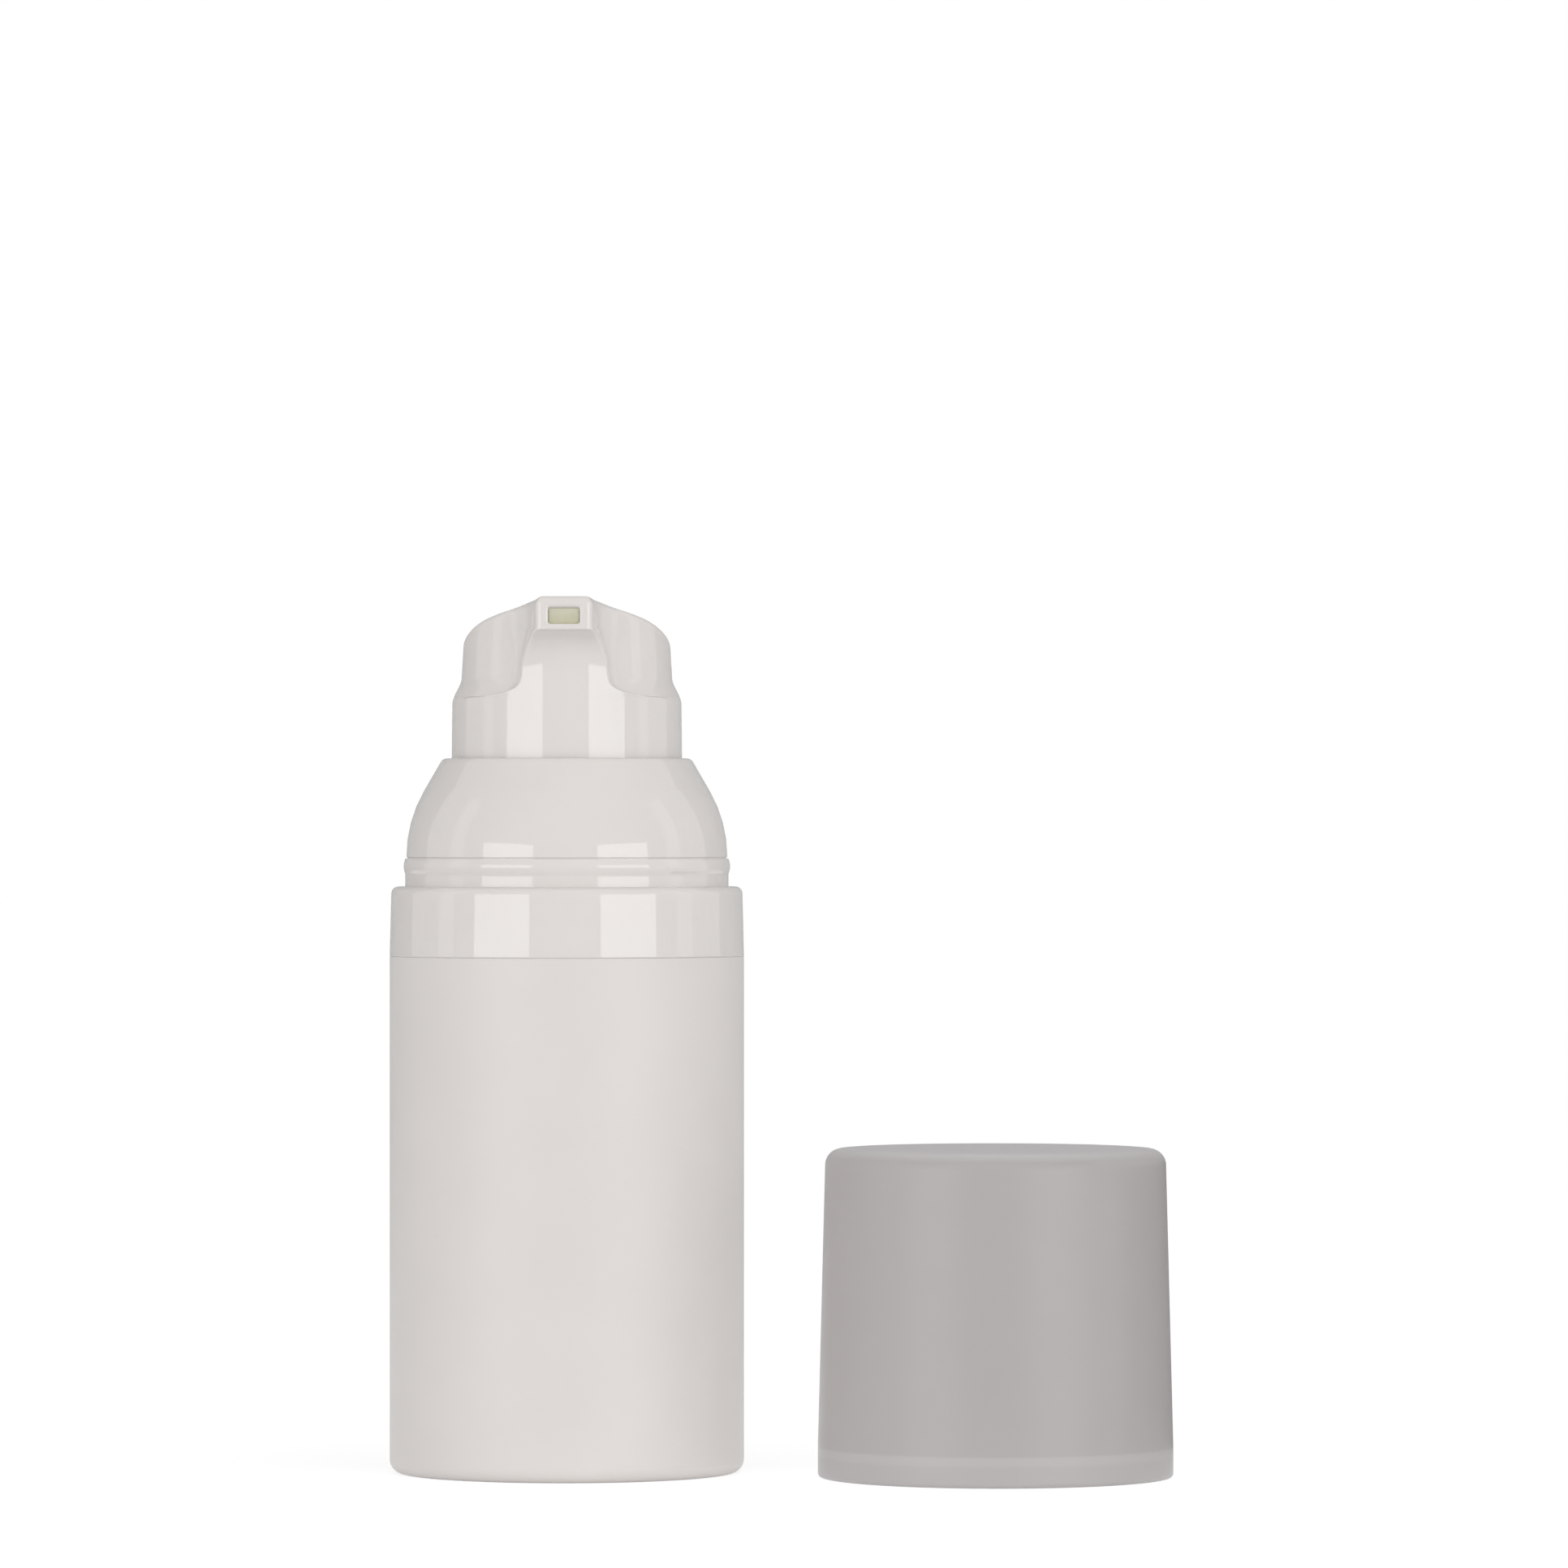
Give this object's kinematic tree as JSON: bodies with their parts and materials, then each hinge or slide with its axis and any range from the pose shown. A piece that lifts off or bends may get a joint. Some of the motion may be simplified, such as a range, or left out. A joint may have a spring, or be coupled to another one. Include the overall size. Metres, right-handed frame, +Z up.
{
  "type": "airless pump bottle",
  "caption": "Airless cosmetic dispenser: satin cup with a follower piston, domed collar, push button pump with a front nozzle, and a translucent overcap standing beside it.",
  "frame": {"origin": "centre of the container's base, on the surface it stands on", "axes": "+Z up the bottle's axis, -Y out of the nozzle towards the front, +X towards the overcap"},
  "size_m": [0.0771, 0.0419, 0.0862],
  "materials": {
    "satin_white": "satin",
    "gloss_white": "gloss",
    "frosted_clear": "frosted translucent",
    "cream_elastomer": "satin",
    "valve_elastomer": "satin",
    "gasket_foam": "matte",
    "natural_polyethylene": "waxy",
    "natural_polypropylene": "moulded",
    "spring_steel": "drawn wire"
  },
  "bodies": {
    "bottle": {"container": "satin_white", "shoulder_collar": "gloss_white", "neck_gasket": "gasket_foam", "pump_housing": "natural_polypropylene", "inlet_valve_cage": "natural_polypropylene", "stem_guide": "natural_polypropylene", "return_spring": "spring_steel"},
    "stem": {"pump_stem": "natural_polypropylene", "stem_plug": "natural_polypropylene"},
    "button": {"actuator": "gloss_white", "nozzle_valve": "cream_elastomer"},
    "dosing_piston": {"dosing_piston": "natural_polyethylene"},
    "inlet_valve": {"inlet_valve": "valve_elastomer"},
    "follower": {"follower_piston": "natural_polyethylene"},
    "overcap": {"overcap": "frosted_clear"}
  },
  "joints": [
    {"name": "actuator_press", "type": "slide", "parent": "bottle", "child": "stem", "axis": [0, 0, -1], "range_m": [0, 0.0055], "stiffness_N_per_m": 360, "springref_m": -0.0146, "deforming": ["return_spring"]},
    {"name": "actuator_swivel", "type": "hinge", "parent": "stem", "child": "button", "pos_m": [0, 0, 0.0777], "axis": [0, 0, 1], "continuous": true},
    {"name": "dosing_piston_slide", "type": "slide", "parent": "bottle", "child": "dosing_piston", "axis": [0, 0, -1], "range_m": [0, 0.0046]},
    {"name": "inlet_valve_lift", "type": "slide", "parent": "bottle", "child": "inlet_valve", "axis": [0, 0, 1], "range_m": [0, 0.0008]},
    {"name": "follower_rise", "type": "slide", "parent": "bottle", "child": "follower", "axis": [0, 0, 1], "range_m": [0, 0.04305]},
    {"name": "overcap_lift", "type": "slide", "parent": "bottle", "child": "overcap", "axis": [0, 0, 1], "range_m": [0, 0.09]}
  ],
  "couplings": [
    {"joint": "dosing_piston_slide", "follows": "actuator_press", "ratio": 0.83636}
  ]
}
